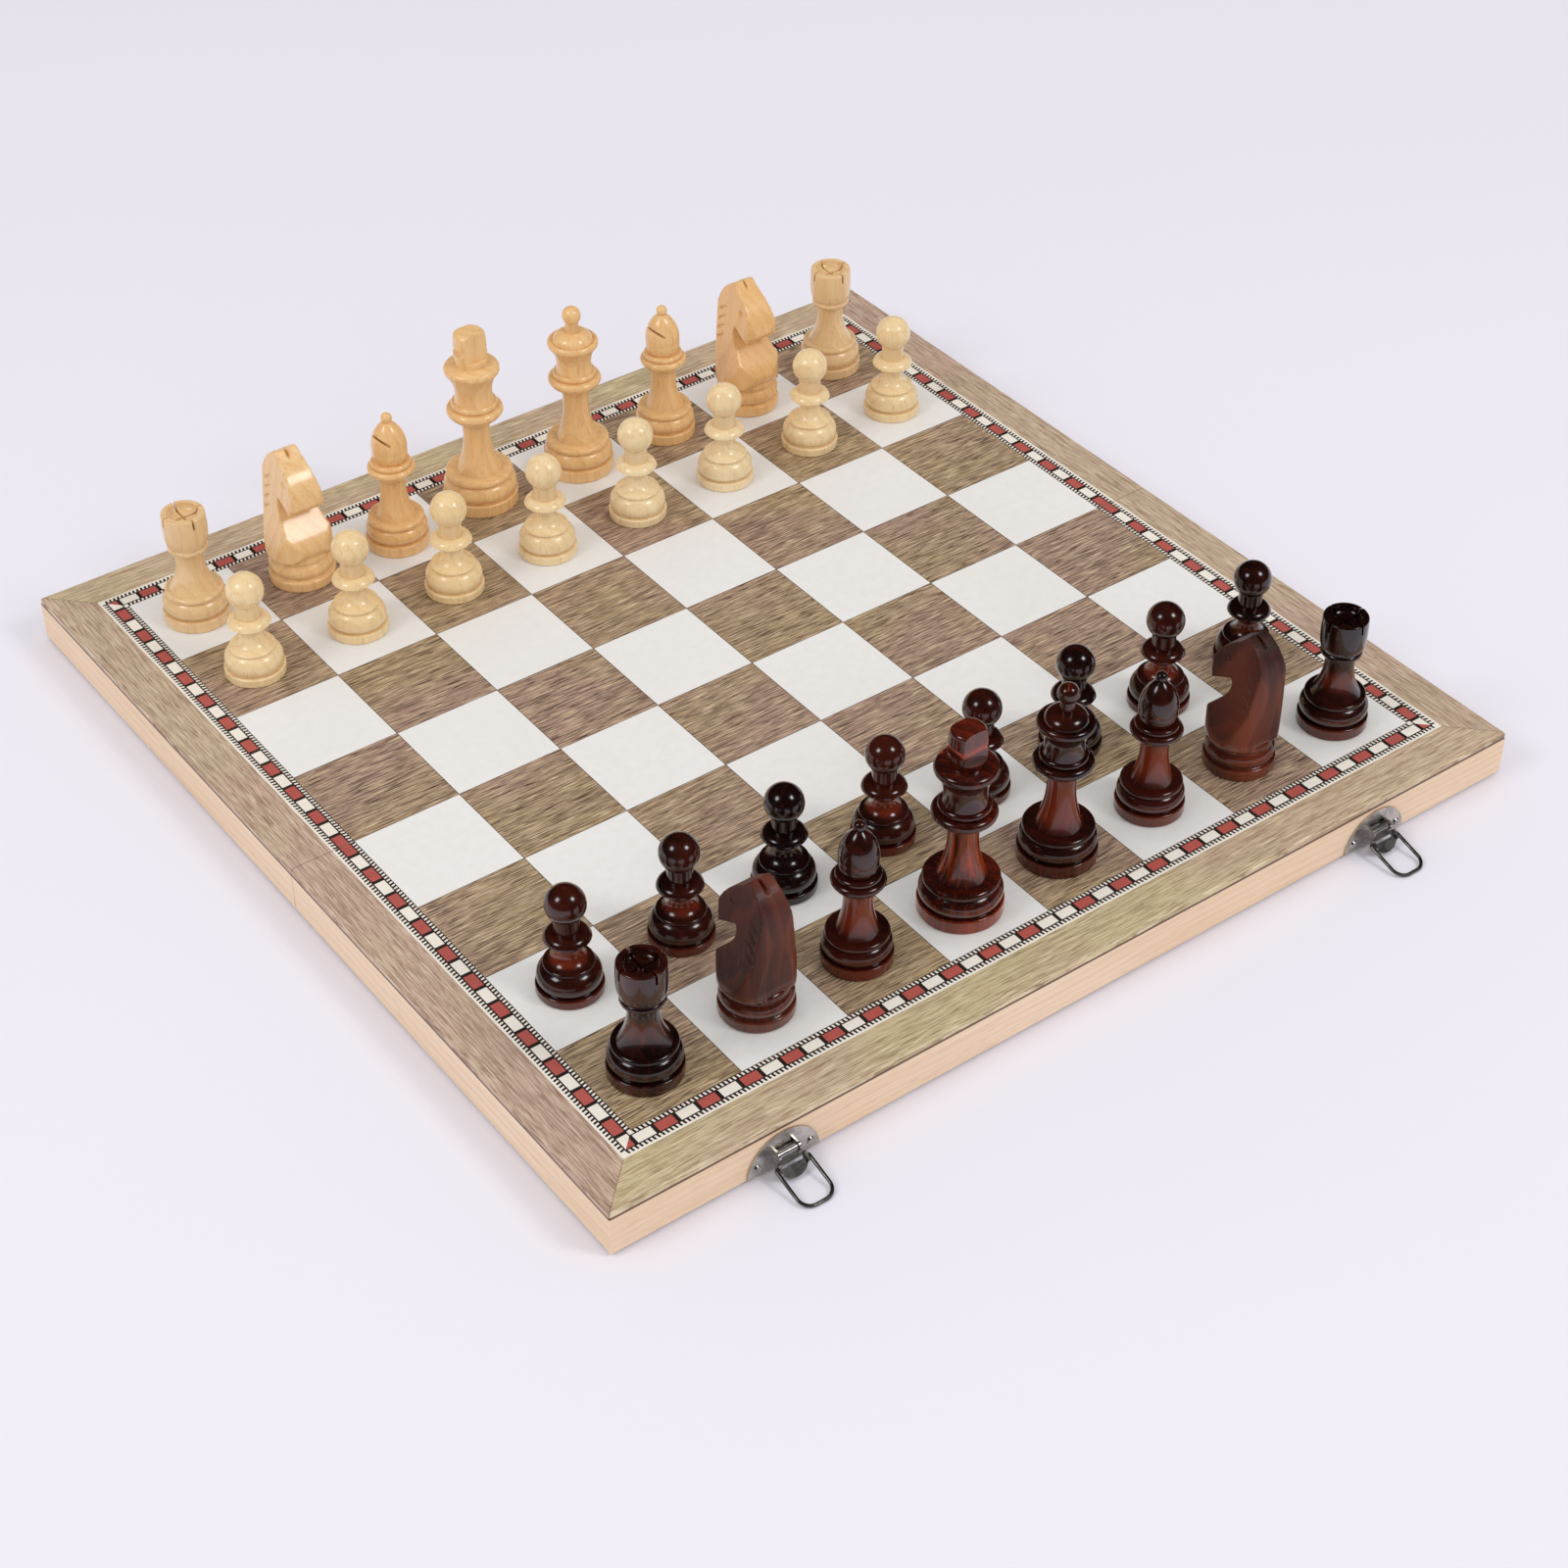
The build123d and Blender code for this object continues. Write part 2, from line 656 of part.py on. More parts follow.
def queen():
    """Domed crown with a flared rim and a ball."""
    collar_top = queen_neck_height + queen_collar_height + queen_ring_height
    rim = collar_top + queen_crown_height
    ball_neck = queen_ball_radius * 0.7
    with BuildPart() as man:
        add(turned(base(queen_foot_radius, queen_foot_height, queen_dome_height, queen_bead_radius,
                      queen_bead_height)
                 + stem(queen_stem_radius,
                        queen_foot_height + groove_height + queen_dome_height + queen_bead_height,
                        queen_neck_radius, queen_neck_height)
                 + collar(queen_neck_height, queen_collar_radius, queen_collar_height, queen_ring_radius,
                          queen_ring_height)
                 + [(queen_crown_foot_radius, collar_top, 0),
                    (queen_crown_radius, rim - queen_rim_height,
                     (queen_crown_radius - queen_crown_foot_radius) * 0.6),
                    (queen_crown_radius - foot_round, rim, -queen_rim_height / 4),
                    (queen_crown_radius * 0.82, rim - foot_round, 0),
                    (ball_neck, rim + queen_dome_rise, -queen_dome_rise * 0.4)],
                 ball_neck, queen_ball_radius, queen_height))
    return man.part


def king():
    """Flared crown under a sawn block finial with a round notch in each side."""
    collar_top = king_neck_height + king_collar_height + king_ring_height
    rim = collar_top + king_crown_height
    with BuildPart() as man:
        add(turned(base(king_foot_radius, king_foot_height, king_dome_height, king_bead_radius,
                        king_bead_height)
                   + stem(king_stem_radius,
                          king_foot_height + groove_height + king_dome_height + king_bead_height,
                          king_neck_radius, king_neck_height)
                 + collar(king_neck_height, king_collar_radius, king_collar_height, king_ring_radius,
                          king_ring_height)
                 + [(king_crown_foot_radius, collar_top, 0),
                    (king_crown_radius, rim - king_rim_height,
                     (king_crown_radius - king_crown_foot_radius) * 0.6),
                    (king_crown_radius - foot_round, rim, -king_rim_height / 4),
                    (king_finial_radius, rim + king_rim_height / 4, 0),
                    (king_finial_radius, king_height - king_finial_round, -0.3),
                    (king_finial_radius - king_finial_round, king_height, -king_finial_round / 3),
                    (0, king_height, 0)]))
        notch_height = (rim + king_height) / 2
        for end in (-1, 1):
            with Locations(Location((end * king_finial_radius, 0, notch_height), (90, 0, 0))):
                Cylinder(king_notch_radius, 3 * king_finial_radius, mode=Mode.SUBTRACT)
            with Locations((0, end * king_finial_thickness / 2, rim + king_rim_height)):
                Box(3 * king_finial_radius, king_finial_radius, king_height,
                    align=(Align.CENTER, Align.MIN if end > 0 else Align.MAX, Align.MIN), mode=Mode.SUBTRACT)
    return man.part


def knight():
    """Turned base under a carved head, sawn from a round blank with sloping flat cheeks."""
    bead_top = knight_foot_height + groove_height + knight_dome_height + knight_bead_height
    cheek_slope = (knight_cheek_width - knight_crown_width) / 2 / (knight_height - knight_cheek_z)
    with BuildPart() as head:
        with BuildSketch(Plane.YZ):
            with BuildLine():
                foot = bead_top - foot_round
                chest, nape = (knight_neck_front, foot), (-knight_neck_back, foot)
                ear, brow = (knight_ear_y, knight_height), (knight_brow_y, knight_brow_z)
                nose, chin = (knight_nose_y, knight_nose_z), (knight_chin_y, knight_chin_z)
                throat = (knight_throat_y, knight_throat_z)
                Line(nape, chest)
                Spline(chest, (knight_chest_y, knight_chest_z), (knight_gullet_y, knight_gullet_z), throat)
                Line(throat, chin)
                Line(chin, nose)
                ThreePointArc(nose, (knight_face_y, knight_face_z), brow)
                Line(brow, ear)
                Spline(ear, (-knight_crest_y, knight_crest_z), (-knight_mane_y, knight_mane_z), nape)
            make_face()
        extrude(amount=knight_blank_radius, both=True)
        with BuildSketch(Plane.XY):
            Circle(knight_blank_radius)
        extrude(amount=knight_height, mode=Mode.INTERSECT)
        with BuildSketch(Plane.XZ):
            with BuildLine():
                cheek, crown, blank = knight_cheek_width / 2, knight_crown_width / 2, knight_blank_radius
                Polyline((-blank, 0), (blank, 0), (blank, bead_top), (cheek, knight_cheek_z),
                         (crown, knight_height), (-crown, knight_height), (-cheek, knight_cheek_z),
                         (-blank, bead_top), close=True)
            make_face()
        extrude(amount=knight_blank_radius, both=True, mode=Mode.INTERSECT)
        for level in range(knight_mane_nicks):
            z = knight_cheek_z + (level + 0.5) * knight_nick_pitch
            side = knight_cheek_width / 2 - (z - knight_cheek_z) * cheek_slope
            for face in (-1, 1):
                with Locations(Location((face * side, knight_nick_y, z), (35, 0, 0))):
                    Box(2 * knight_nick_depth, knight_nick_length, knight_nick_width, mode=Mode.SUBTRACT)
        eye_side = knight_cheek_width / 2 - (knight_eye_z - knight_cheek_z) * cheek_slope
        for face in (-1, 1):
            with Locations(Location((face * eye_side, knight_eye_y, knight_eye_z), (0, 90, 0))):
                Cylinder(knight_eye_radius, 2 * knight_nick_depth, mode=Mode.SUBTRACT)
        with Locations(Location((0, knight_nose_y, knight_mouth_z), (20, 0, 0))):
            Box(2 * knight_blank_radius, knight_nick_length, knight_mouth_width, mode=Mode.SUBTRACT)
        with Locations((0, knight_ear_y, knight_height)):
            Box(knight_ear_cut_width, 2 * knight_blank_radius, knight_ear_cut_depth, mode=Mode.SUBTRACT,
                align=(Align.CENTER, Align.CENTER, Align.MAX))
    with BuildPart() as man:
        add(turned(base(knight_foot_radius, knight_foot_height, knight_dome_height, knight_bead_radius,
                        knight_bead_height)
                   + [(0, bead_top, 0)]))
        add(head.part)
    return man.part


# Setting out. Men stand a little off centre, as a hand leaves them.
shapes = {"pawn": pawn(), "rook": rook(), "knight": knight(), "bishop": bishop(), "queen": queen(),
          "king": king()}
back_rank = ("rook", "knight", "bishop", "king", "queen", "bishop", "knight", "rook")
sides_of_board = ("left", "left", "left", "", "", "right", "right", "right")
stray = {
    ("dark", "rook", 0): (-2.6, -2.2), ("dark", "bishop", 2): (-2.0, -0.6),
    ("dark", "rook", 7): (0.4, -3.4), ("dark", "king", 3): (-1.2, -1.2),
    ("light", "king", 3): (-2.0, 3.2), ("light", "rook", 0): (-2.4, 0.8),
    ("light", "bishop", 2): (-1.4, -2.6), ("light", "knight", 6): (-2.4, -2.2),
    ("dark", "pawn", 0): (-1.0, 1.2), ("light", "pawn", 0): (-1.6, -0.4),
}
for tone, home_row, pawn_row, turn_angle in (("dark", 0, 1, 0), ("light", 7, 6, 180)):
    for column in range(squares_per_side):
        for kind, row in ((back_rank[column], home_row), ("pawn", pawn_row)):
            off_x, off_y = stray.get((tone, kind, column), (0, 0))
            x = (column + 0.5 - squares_per_side / 2) * square + off_x
            y = (row + 0.5 - squares_per_side / 2) * square + off_y
            with BuildPart() as man:
                with Locations(Location((x, y, top_z), (0, 0, turn_angle))):
                    add(shapes[kind])
            if kind == "pawn":
                name = f"{tone}_pawn_{column + 1}"
            else:
                name = "_".join(w for w in (tone, sides_of_board[column], kind) if w)
            write(man.part, name)
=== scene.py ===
import math
import bpy
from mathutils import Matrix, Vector


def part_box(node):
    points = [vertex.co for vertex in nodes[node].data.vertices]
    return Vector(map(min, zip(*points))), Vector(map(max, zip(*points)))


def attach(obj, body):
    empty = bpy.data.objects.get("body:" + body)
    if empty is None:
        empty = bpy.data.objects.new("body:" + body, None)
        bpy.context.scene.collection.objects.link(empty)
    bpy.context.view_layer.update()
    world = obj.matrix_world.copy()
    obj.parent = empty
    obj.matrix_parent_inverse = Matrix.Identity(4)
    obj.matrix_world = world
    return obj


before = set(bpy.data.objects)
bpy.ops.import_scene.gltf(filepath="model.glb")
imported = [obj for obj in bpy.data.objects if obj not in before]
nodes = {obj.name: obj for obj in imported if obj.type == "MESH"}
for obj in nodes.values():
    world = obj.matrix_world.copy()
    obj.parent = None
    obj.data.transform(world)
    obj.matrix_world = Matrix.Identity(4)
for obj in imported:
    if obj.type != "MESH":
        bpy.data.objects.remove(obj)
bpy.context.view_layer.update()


# Pine rails
# Eight bars of pale, unfinished pine make the two trays' walls. They are planed square,
# mitred at the corners and glued, so the grain runs along each bar.
def colour(red, green, blue):
    """Linear colour from the 0 to 255 values that the eye compares."""
    def linear(value):
        value = value / 255
        return value / 12.92 if value <= 0.04045 else ((value + 0.055) / 1.055) ** 2.4
    return (linear(red), linear(green), linear(blue), 1.0)


def feed(tree, socket, value):
    """Links a socket to another socket, or sets it to a constant."""
    if isinstance(value, bpy.types.NodeSocket):
        tree.links.new(value, socket)
    else:
        socket.default_value = value


def put(tree, kind, inputs=None, **settings):
    """New node with its settings made and its named inputs fed."""
    made = tree.nodes.new(kind)
    for key, value in settings.items():
        setattr(made, key, value)
    for key, value in (inputs or {}).items():
        feed(tree, made.inputs[key], value)
    return made


def calc(tree, operation, first, second=0.0):
    """Result of one Math node."""
    return put(tree, "ShaderNodeMath", {0: first, 1: second}, operation=operation).outputs[0]


def vector(tree, operation, first, second=(0.0, 0.0, 0.0)):
    """Result of one Vector Math node."""
    made = put(tree, "ShaderNodeVectorMath", {0: first, 1: second}, operation=operation)
    return made.outputs["Value" if operation == "LENGTH" else "Vector"]


def step(tree, value, low, high):
    """Mask that rises smoothly from 0 at low to 1 at high."""
    return put(tree, "ShaderNodeMapRange", {"Value": value, "From Min": low, "From Max": high},
               interpolation_type="SMOOTHSTEP").outputs["Result"]


def spread(tree, value, low, high):
    """A 0 to 1 value spread over the span from low to high."""
    return put(tree, "ShaderNodeMapRange", {"Value": value, "To Min": low, "To Max": high}).outputs["Result"]


def mixed(tree, factor, first, second):
    """Two colours mixed by a factor."""
    made = put(tree, "ShaderNodeMix", data_type="RGBA")
    feed(tree, made.inputs[0], factor)
    feed(tree, made.inputs[6], first)
    feed(tree, made.inputs[7], second)
    return made.outputs[2]


def noise(tree, place, scale, detail=3.0, roughness=0.5):
    """Fractal noise stretched by a different scale on each axis."""
    stretched = vector(tree, "MULTIPLY", place, scale)
    return put(tree, "ShaderNodeTexNoise", {"Vector": stretched, "Scale": 1.0, "Detail": detail,
                                            "Roughness": roughness}).outputs["Fac"]


def group(name, inputs, outputs):
    """Empty shader group with named sockets: (tree, its input node, its output node)."""
    tree = bpy.data.node_groups.new(name, "ShaderNodeTree")
    for title, kind, value in inputs:
        tree.interface.new_socket(title, in_out="INPUT", socket_type=kind).default_value = value
    for title, kind in outputs:
        tree.interface.new_socket(title, in_out="OUTPUT", socket_type=kind)
    return tree, tree.nodes.new("NodeGroupInput"), tree.nodes.new("NodeGroupOutput")


def place_group(tree, shared, inputs):
    """Outputs of a shared group placed in a material with its named inputs fed."""
    made = tree.nodes.new("ShaderNodeGroup")
    made.node_tree = shared
    for key, value in inputs.items():
        feed(tree, made.inputs[key], value)
    return made.outputs


def material(name):
    """New material: (material, tree, Principled shader, place on the object)."""
    made = bpy.data.materials.new(name)
    made.use_nodes = True
    tree = made.node_tree
    place = tree.nodes.new("ShaderNodeTexCoord").outputs["Object"]
    return made, tree, tree.nodes["Principled BSDF"], place


def relief(tree, shader, height, strength, distance):
    """Bump fed into the shader's normal."""
    bump = put(tree, "ShaderNodeBump", {"Height": height, "Strength": strength, "Distance": distance})
    tree.links.new(bump.outputs["Normal"], shader.inputs["Normal"])


def dress(name, finish):
    """Gives a CAD node its material and its repaint slot."""
    node = nodes[name]
    if not node.material_slots:
        node.data.materials.append(finish)
    for held in node.material_slots:
        held.material = finish
    return node


figure, source, sink = group(
    "Wood Figure",
    [("Vector", "NodeSocketVector", (0, 0, 0)), ("Ring Spacing", "NodeSocketFloat", 0.003),
     ("Seed", "NodeSocketFloat", 0.0)],
    [("Ring", "NodeSocketFloat"), ("Fibre", "NodeSocketFloat"), ("Blotch", "NodeSocketFloat"),
     ("Fleck", "NodeSocketFloat")])
shift = vector(figure, "MULTIPLY", source.outputs["Seed"], (0.31, 0.17, 0.23))
spot = vector(figure, "ADD", source.outputs["Vector"], shift)
wander = calc(figure, "MULTIPLY", calc(figure, "SUBTRACT", noise(figure, spot, (34, 34, 7)), 0.5), 0.011)
heart = vector(figure, "ADD", vector(figure, "MULTIPLY", spot, (1, 1, 0.03)), (0.031, 0.052, 0))
radius = calc(figure, "ADD", vector(figure, "LENGTH", heart), wander)
turn = calc(figure, "FRACT", calc(figure, "DIVIDE", radius, source.outputs["Ring Spacing"]))
late = calc(figure, "POWER", turn, 2.4)
ring = calc(figure, "MULTIPLY", late, calc(figure, "SUBTRACT", 1.0, step(figure, turn, 0.9, 1.0)))
figure.links.new(ring, sink.inputs["Ring"])
figure.links.new(noise(figure, spot, (760, 760, 19), 4), sink.inputs["Fibre"])
figure.links.new(noise(figure, spot, (24, 24, 10), 2), sink.inputs["Blotch"])
figure.links.new(step(figure, noise(figure, spot, (1500, 1500, 120), 1), 0.6, 0.72), sink.inputs["Fleck"])


def pine(name, turned_to_z, seed):
    """Pine with its grain turned so that the figure's Z runs along the bar."""
    made, tree, shader, place = material(name)
    along = put(tree, "ShaderNodeMapping", {"Vector": place, "Rotation": turned_to_z}).outputs["Vector"]
    wood = place_group(tree, figure, {"Vector": along, "Ring Spacing": 0.0031, "Seed": seed})
    body = mixed(tree, step(tree, wood["Blotch"], 0.3, 0.7), colour(247, 223, 197), colour(241, 213, 182))
    body = mixed(tree, calc(tree, "MULTIPLY", wood["Ring"], 0.5), body, colour(230, 190, 150))
    body = mixed(tree, calc(tree, "MULTIPLY", step(tree, wood["Fibre"], 0.42, 0.7), 0.35), body,
                 colour(224, 190, 156))
    body = mixed(tree, calc(tree, "MULTIPLY", wood["Fleck"], 0.22), body, colour(186, 146, 110))
    tree.links.new(body, shader.inputs["Base Color"])
    tree.links.new(spread(tree, wood["Fibre"], 0.5, 0.72), shader.inputs["Roughness"])
    relief(tree, shader, calc(tree, "ADD", wood["Fibre"], wood["Ring"]), 0.25, 0.0002)
    shader.inputs["Specular IOR Level"].default_value = 0.35
    return made


pine_along_x = pine("Pine Along X", (0, math.pi / 2, 0), 0.4)
pine_along_y = pine("Pine Along Y", (math.pi / 2, 0, 0), 1.7)
for tone in ("light", "dark"):
    for place_name in ("fold", "outer"):
        dress(f"{tone}_{place_name}_rail", pine_along_x)
    for hand in ("left", "right"):
        dress(f"{tone}_{hand}_rail", pine_along_y)


# Printed panels
# Two 3 mm fibreboards glued on the trays, covered with one printed foil that wraps over their
# rounded outer edges. The border prints a grey-brown wood that meets in mitres at the corners.
fold_y = (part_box("dark_panel")[1][1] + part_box("light_panel")[0][1]) / 2
top_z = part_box("dark_panel")[1][2]
floor_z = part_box("dark_panel")[0][2]

printed, source, sink = group(
    "Printed Grain",
    [("Vector", "NodeSocketVector", (0, 0, 0)), ("Olive", "NodeSocketColor", (0, 0, 0, 1)),
     ("Mauve", "NodeSocketColor", (0, 0, 0, 1)), ("Dark", "NodeSocketColor", (0, 0, 0, 1)),
     ("Pale", "NodeSocketColor", (1, 1, 1, 1)), ("Contrast", "NodeSocketFloat", 0.5)],
    [("Color", "NodeSocketColor"), ("Height", "NodeSocketFloat")])
spot = source.outputs["Vector"]
patch = step(printed, noise(printed, spot, (11, 15, 1), 2), 0.38, 0.62)
body = mixed(printed, patch, source.outputs["Olive"], source.outputs["Mauve"])
wide = step(printed, noise(printed, spot, (30, 800, 1), 4, 0.7), 0.42, 0.64)
narrow = step(printed, noise(printed, spot, (100, 2900, 1), 2, 0.6), 0.5, 0.62)
aside = vector(printed, "ADD", spot, (0.7, 0.3, 0))
light = step(printed, noise(printed, aside, (90, 2300, 1), 2), 0.52, 0.64)
weight = source.outputs["Contrast"]
body = mixed(printed, calc(printed, "MULTIPLY", calc(printed, "MULTIPLY", wide, 0.6), weight), body,
             source.outputs["Dark"])
body = mixed(printed, calc(printed, "MULTIPLY", narrow, weight), body, source.outputs["Dark"])
body = mixed(printed, calc(printed, "MULTIPLY", light, weight), body, source.outputs["Pale"])
printed.links.new(body, sink.inputs["Color"])
printed.links.new(narrow, sink.inputs["Height"])

border_foil, tree, shader, place = material("Printed Border")
parts = put(tree, "ShaderNodeSeparateXYZ", {"Vector": place}).outputs
from_fold = calc(tree, "ABSOLUTE", calc(tree, "SUBTRACT", parts["Y"], fold_y))
end_side = calc(tree, "GREATER_THAN", calc(tree, "ABSOLUTE", parts["X"]), from_fold)
swapped = put(tree, "ShaderNodeCombineXYZ", {"X": parts["Y"], "Y": parts["X"], "Z": parts["Z"]})
long_grain = place_group(tree, printed, {
    "Vector": place, "Olive": colour(208, 192, 150), "Mauve": colour(206, 180, 152),
    "Dark": colour(136, 108, 78), "Pale": colour(230, 214, 180), "Contrast": 0.75})
end_grain = place_group(tree, printed, {
    "Vector": vector(tree, "ADD", swapped.outputs["Vector"], (0.5, 0.9, 0)),
    "Olive": colour(204, 182, 152), "Mauve": colour(202, 172, 153),
    "Dark": colour(128, 96, 74), "Pale": colour(226, 206, 182), "Contrast": 0.75})
foil = mixed(tree, end_side, long_grain["Color"], end_grain["Color"])
mitre = calc(tree, "ABSOLUTE", calc(tree, "SUBTRACT", calc(tree, "ABSOLUTE", parts["X"]), from_fold))
foil = mixed(tree, spread(tree, step(tree, mitre, 0.0001, 0.0005), 0.45, 0.0), foil, colour(96, 74, 56))
fibreboard = mixed(tree, noise(tree, place, (900, 900, 900)), colour(118, 86, 58), colour(78, 52, 36))
ragged = calc(tree, "MULTIPLY", noise(tree, place, (90, 90, 1)), 0.0003)
bare = step(tree, calc(tree, "ADD", parts["Z"], ragged), floor_z + 0.0013, floor_z + 0.0010)
foil = mixed(tree, bare, foil, fibreboard)
tree.links.new(foil, shader.inputs["Base Color"])
smudge = noise(tree, place, (18, 18, 18), 4)
tree.links.new(spread(tree, smudge, 0.34, 0.52), shader.inputs["Roughness"])
relief(tree, shader, calc(tree, "ADD", long_grain["Height"], smudge), 0.12, 0.00005)


# Printed playing field
# The foil's middle: sixty-four squares with thin dark outlines, inside an inlay-style band of
# dashes, red and white blocks and a white line. It is drawn as thin ink layers on the panels.
brown_square, tree, shader, place = material("Printed Brown Square")
grain = place_group(tree, printed, {
    "Vector": place, "Olive": colour(182, 157, 119), "Mauve": colour(180, 148, 130),
    "Dark": colour(76, 52, 40), "Pale": colour(212, 188, 154), "Contrast": 1.0})
tree.links.new(grain["Color"], shader.inputs["Base Color"])
smudge = noise(tree, place, (15, 15, 1), 4)
tree.links.new(spread(tree, smudge, 0.36, 0.54), shader.inputs["Roughness"])
relief(tree, shader, calc(tree, "ADD", grain["Height"], smudge), 0.12, 0.00005)


def ink(name, tint, shade):
    """One flat printing colour with paper mottle, scuffs and a satin surface."""
    made, tree, shader, place = material(name)
    mottle = step(tree, noise(tree, place, (240, 260, 1), 4), 0.3, 0.7)
    cloud = step(tree, noise(tree, place, (13, 9, 1), 2), 0.35, 0.7)
    body = mixed(tree, calc(tree, "MULTIPLY", mottle, 0.35), tint, shade)
    body = mixed(tree, calc(tree, "MULTIPLY", cloud, 0.3), body, shade)
    tree.links.new(body, shader.inputs["Base Color"])
    tree.links.new(spread(tree, noise(tree, place, (17, 17, 1), 4), 0.36, 0.52), shader.inputs["Roughness"])
    relief(tree, shader, noise(tree, place, (900, 900, 1), 2), 0.06, 0.00003)
    return made


inks = {
    "brown": brown_square,
    "cream": ink("Printed White Square", colour(240, 239, 236), colour(232, 230, 225)),
    "black": ink("Printed Black", colour(38, 30, 28), colour(60, 48, 44)),
    "red": ink("Printed Red", colour(190, 92, 82), colour(164, 74, 66)),
    "white": ink("Printed White", colour(246, 240, 228), colour(232, 222, 206)),
    "line": ink("Printed Outline", colour(92, 68, 54), colour(70, 52, 42)),
}
ink_order = list(inks)
ink_step = 0.00001


class Sheet:
    """Flat printed shapes of one tray half, in millimetres from the fold's centre."""

    def __init__(self, way):
        self.way = way
        self.points = []
        self.faces = []
        self.tints = []

    def lay(self, tint, layer, corners):
        """One shape from its (x, distance from fold) corners."""
        start = len(self.points)
        if self.way * winding(corners) < 0:
            corners = corners[::-1]
        for x, far in corners:
            self.points.append((x / 1000, fold_y + self.way * far / 1000, top_z + ink_step * (layer + 1)))
        self.faces.append(list(range(start, start + len(corners))))
        self.tints.append(ink_order.index(tint))

    def finish(self, name, body):
        """Mesh object that rides on its tray."""
        mesh = bpy.data.meshes.new(name)
        mesh.from_pydata(self.points, [], self.faces)
        for tint in ink_order:
            mesh.materials.append(inks[tint])
        for face, tint in zip(mesh.polygons, self.tints):
            face.material_index = tint
        sheet = bpy.data.objects.new(name, mesh)
        bpy.context.collection.objects.link(sheet)
        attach(sheet, body)


def winding(corners):
    """Twice the signed area of a flat shape."""
    pairs = zip(corners, corners[1:] + corners[:1])
    return sum(a[0] * b[1] - b[0] * a[1] for a, b in pairs)


square = 42.5
field_edge = 4 * square
seam = 0.15
outline_half = 0.13
block_low, block_high = 171.5, 176.4
block_inset = 0.5
block_gap = 0.7
first_block, side_block, side_blocks = 6.6, 8.16, 20
outer_block, outer_blocks = 8.18, 21
white_low, white_high = 177.9, 178.75
dash_rows = ((field_edge, block_low), (block_high, white_low))
dash_pitch, dash_share, dash_slant = 1.635, 0.52, 0.3


def squares(field):
    """One half's four rows of eight squares, then the thin outlines over them."""
    for column in range(8):
        for row in range(4):
            near, far = max(seam, row * square), (row + 1) * square
            left = (column - 4) * square
            rank = 4 + row if field.way > 0 else 3 - row
            tint = "brown" if (column + rank) % 2 == 0 else "cream"
            field.lay(tint, 0, [(left, near), (left + square, near), (left + square, far), (left, far)])
    for line in range(-4, 5):
        left, right = line * square - outline_half, line * square + outline_half
        field.lay("line", 1, [(left, seam), (right, seam), (right, field_edge), (left, field_edge)])
    for row in range(1, 5):
        near, far = row * square - outline_half, row * square + outline_half
        field.lay("line", 1, [(-field_edge, near), (field_edge, near), (field_edge, far), (-field_edge, far)])


def lay_on_side(field, side, tint, layer, corners):
    """One shape whose corners are distances along a side and out from the field's centre."""
    if side == "left":
        corners = [(-out, along) for along, out in corners]
    elif side == "right":
        corners = [(out, along) for along, out in corners]
    field.lay(tint, layer, corners)


def course(field, side, tint, low, high):
    """Full strip of one side, mitred where it meets its neighbour."""
    first_low, first_high = (-low, -high) if side == "outer" else (seam, seam)
    corners = [(first_low, low), (low, low), (high, high), (first_high, high)]
    lay_on_side(field, side, tint, 0, corners)


def dashes(field, side, low, high):
    """White strip of one side with a row of slanting black dashes on it."""
    course(field, side, "white", low, high)
    first, length = (-low, 2 * high) if side == "outer" else (seam, high)
    for number in range(int(length / dash_pitch)):
        start = first + number * dash_pitch
        end = start + dash_pitch * dash_share
        if end + dash_slant > low:
            continue
        corners = [(start, low), (end, low), (end + dash_slant, high), (start + dash_slant, high)]
        lay_on_side(field, side, "black", 1, corners)


def in_turn(first, pitch, count):
    """Starts, ends and colours of a row of blocks, white and red in turn."""
    return [(first + pitch * k, first + pitch * (k + 1), "red" if k % 2 else "white") for k in range(count)]


def blocks(field, side):
    """Blocks of one side and the wedges that fill its mitred corners."""
    low, high = block_low + block_inset, block_high - block_inset
    if side == "outer":
        spans = in_turn(0.0, outer_block, outer_blocks)
        spans += [(-end, -start, tint) for start, end, tint in spans]
        corner, signs = "red", (-1, 1)
    else:
        spans = [(seam - block_gap, first_block, "red")] + in_turn(first_block, side_block, side_blocks)
        corner, signs = "white", (1,)
    for start, end, tint in spans:
        start, end = start + block_gap, end - block_gap
        lay_on_side(field, side, tint, 1, [(start, low), (end, low), (end, high), (start, high)])
    last = max(abs(end) for start, end, tint in spans) + block_gap
    if last > low:
        wedge = [(last, last), (high, high), (last, high)]
    else:
        wedge = [(last, low), (low, low), (high, high), (last, high)]
    for sign in signs:
        lay_on_side(field, side, corner, 1, [(sign * along, out) for along, out in wedge])


for tone, way, body in (("dark", -1, "dark_half"), ("light", 1, "light_half")):
    field = Sheet(way)
    squares(field)
    for side in ("outer", "left", "right"):
        for low, high in dash_rows:
            dashes(field, side, low, high)
        course(field, side, "black", block_low, block_high)
        course(field, side, "white", white_low, white_high)
        blocks(field, side)
    field.finish(f"{tone}_printed_field", body)
    dress(f"{tone}_panel", border_foil)


